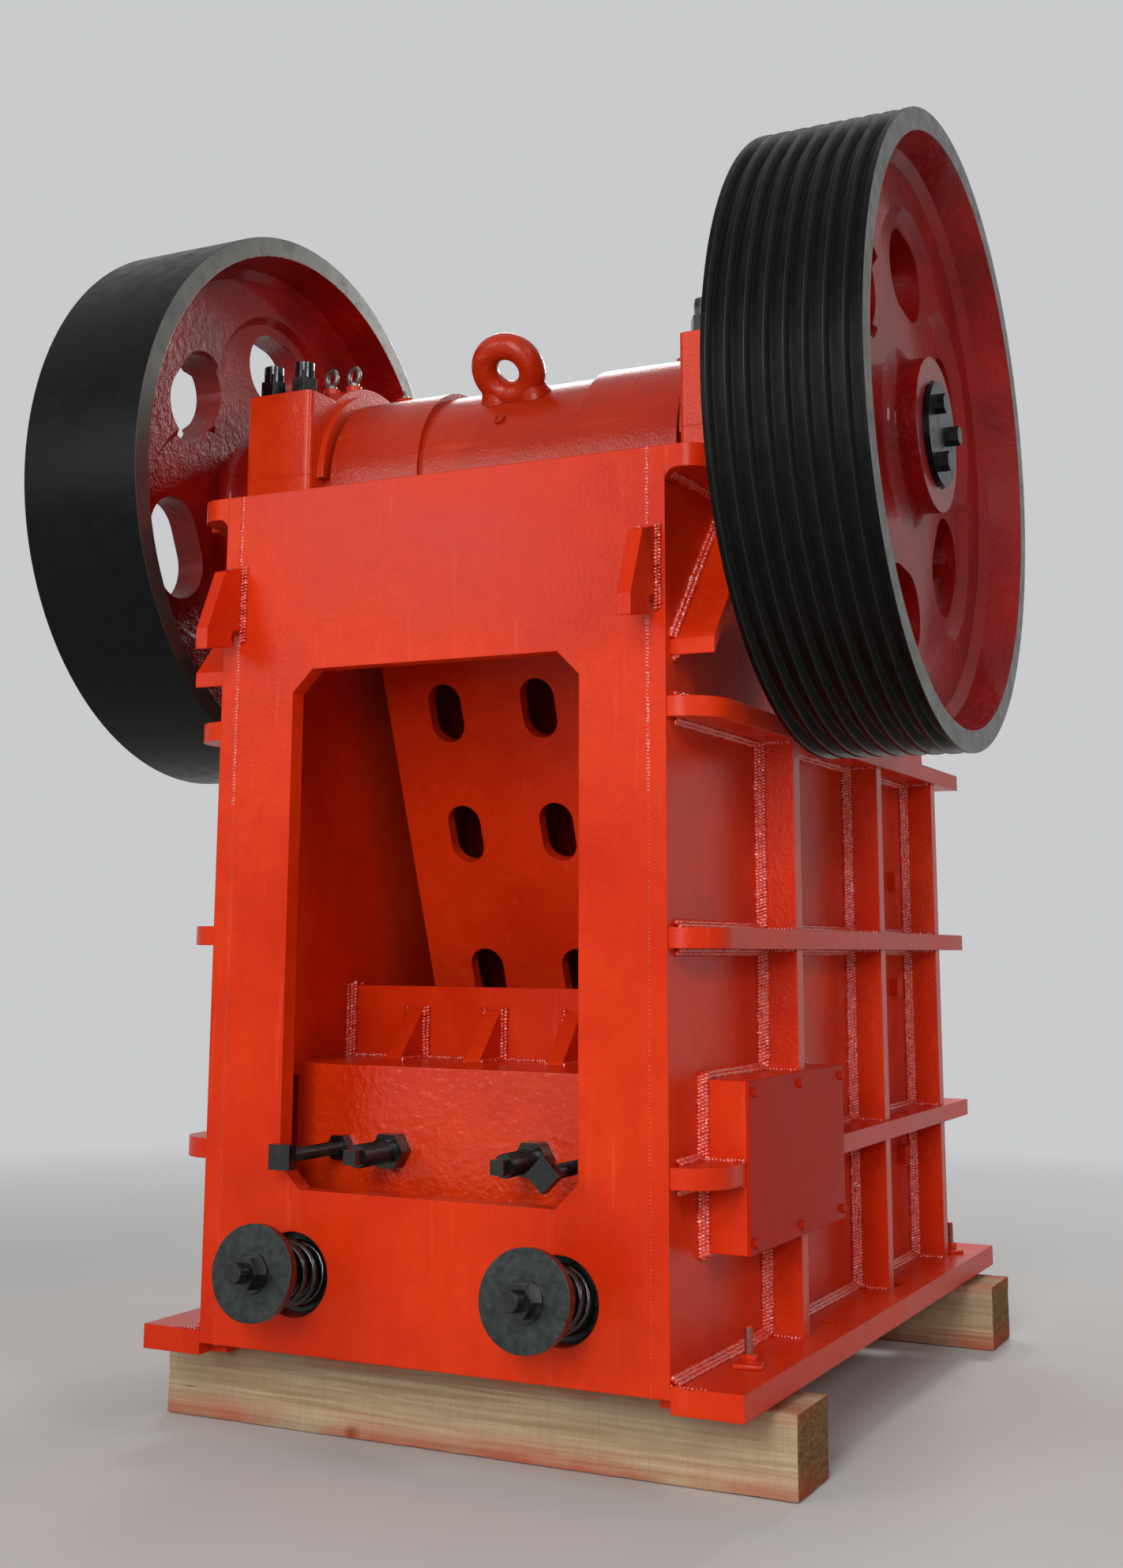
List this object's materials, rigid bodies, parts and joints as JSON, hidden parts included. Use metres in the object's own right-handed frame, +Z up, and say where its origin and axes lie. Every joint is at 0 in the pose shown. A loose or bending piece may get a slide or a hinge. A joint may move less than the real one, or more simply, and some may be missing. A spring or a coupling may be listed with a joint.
{
  "type": "single-toggle jaw crusher",
  "caption": "Single-toggle jaw crusher: welded plate frame, swing jaw on an eccentric shaft, grooved sheave and flywheel, on timbers",
  "frame": {"origin": "bottom centre of the whole machine's box, on the floor under the timbers", "axes": "+Z up, -Y the rear (toggle) end that the picture shows, +Y the feed end, +X the belt sheave side, -X the flywheel side"},
  "size_m": [2.276, 2.4934, 3.225],
  "materials": {
    "frame_paint": "glossy orange-red enamel with brush runs over weld beads",
    "wheel_casting": "rough casting under crimson enamel, rims black with bare turned sides",
    "black_steel": "black oiled steel",
    "bare_steel": "bare machined steel",
    "manganese_steel": "bare cast manganese steel",
    "timber": "rough sawn pale timber"
  },
  "bodies": {
    "frame": {"rear_wall": "frame_paint", "front_wall": "frame_paint", "left_side_wall": "frame_paint", "right_side_wall": "frame_paint", "left_horizontal_ribs": "frame_paint", "right_horizontal_ribs": "frame_paint", "left_vertical_ribs": "frame_paint", "right_vertical_ribs": "frame_paint", "front_wall_ribs": "frame_paint", "left_base_flange": "frame_paint", "right_base_flange": "frame_paint", "cover_boxes": "frame_paint", "cover_plates": "frame_paint", "lifting_hooks": "frame_paint", "bearing_seats": "frame_paint", "left_bearing_base": "frame_paint", "right_bearing_base": "frame_paint", "left_bearing_cap": "frame_paint", "right_bearing_cap": "frame_paint", "bearing_studs": "black_steel", "eyebolts": "bare_steel", "adjusting_block": "frame_paint", "block_guides": "frame_paint", "seat_bracket": "frame_paint", "adjusting_screws": "black_steel", "toggle_plate": "bare_steel", "tension_rods": "black_steel", "tension_springs": "black_steel", "spring_plates": "black_steel", "fixed_jaw_plate": "manganese_steel", "cheek_plates": "manganese_steel", "liner_bolts": "frame_paint", "anchor_bolts": "black_steel", "foot_pads": "frame_paint", "rear_timber": "timber", "front_timber": "timber"},
    "shaft": {"eccentric_shaft": "bare_steel", "flywheel": "wheel_casting", "sheave": "wheel_casting", "shaft_end_plates": "black_steel"},
    "swing_jaw": {"pitman": "frame_paint", "lifting_eye": "frame_paint", "back_plate": "frame_paint", "moving_jaw_plate": "manganese_steel", "jaw_wedge": "frame_paint", "toggle_seat": "bare_steel"}
  },
  "joints": [
    {"name": "shaft_spin", "type": "hinge", "parent": "frame", "child": "shaft", "pos_m": [0, -0.39429, 2.433], "axis": [1, 0, 0], "continuous": true},
    {"name": "jaw_ride", "type": "hinge", "parent": "shaft", "child": "swing_jaw", "pos_m": [0, -0.39429, 2.418], "axis": [1, 0, 0], "continuous": true}
  ],
  "couplings": [
    {"joint": "jaw_ride", "follows": "shaft_spin", "ratio": -1}
  ]
}
